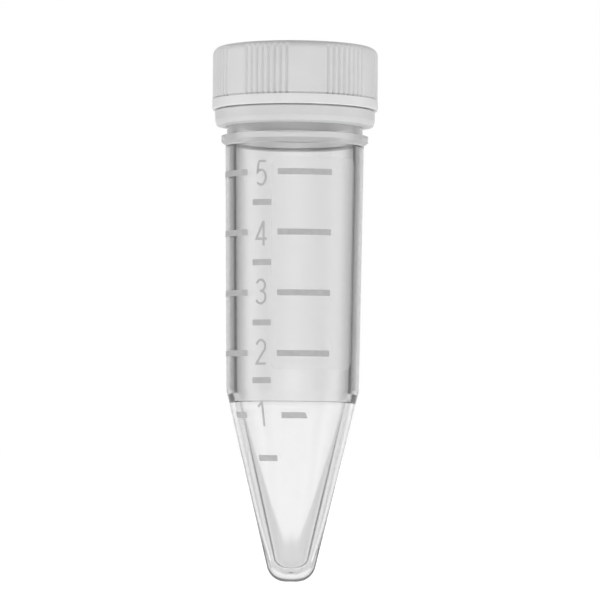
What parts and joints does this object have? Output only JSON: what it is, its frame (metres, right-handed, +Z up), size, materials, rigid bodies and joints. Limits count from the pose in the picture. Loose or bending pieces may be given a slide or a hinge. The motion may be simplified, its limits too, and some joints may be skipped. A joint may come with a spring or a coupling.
{
  "type": "screw-cap sample tube",
  "caption": "Clear conical 5 mL sample tube with a rack collar, a ribbed white screw cap and a tamper ring on its neck.",
  "frame": {"origin": "on the tube's axis, level with the underside of the collar that rests on a rack", "axes": "+Z up along the tube's axis towards the cap; -Y is the side the graduations are read from; +X is to the reader's right"},
  "size_m": [0.0196, 0.0196, 0.063],
  "materials": {
    "clear_polypropylene": "clear, smooth, slightly milky polypropylene",
    "white_polyethylene": "translucent white, satin, moulded polyethylene",
    "white_silicone": "off-white matte silicone",
    "grey_print": "pale grey screen-printed ink",
    "frosted_panel": "fine frosted writing area"
  },
  "bodies": {
    "tube": {"tube_body": "clear_polypropylene"},
    "tamper_band": {"tamper_ring": "white_polyethylene"},
    "seal": {"seal_ring": "white_silicone"},
    "cap": {"screw_cap": "white_polyethylene"}
  },
  "joints": [
    {"name": "cap_lift", "type": "slide", "parent": "tube", "child": "seal", "axis": [0, 0, 1], "range_m": [0, 0.00625]},
    {"name": "cap_turn", "type": "hinge", "parent": "seal", "child": "cap", "pos_m": [0, 0, 0.00656], "axis": [0, 0, 1], "range_deg": [0, 900]},
    {"name": "ring_slide", "type": "slide", "parent": "tube", "child": "tamper_band", "axis": [0, 0, 1], "range_m": [-0.00096, 0]}
  ],
  "couplings": [
    {"joint": "cap_turn", "follows": "cap_lift", "rad_per_m": 2513.3}
  ]
}
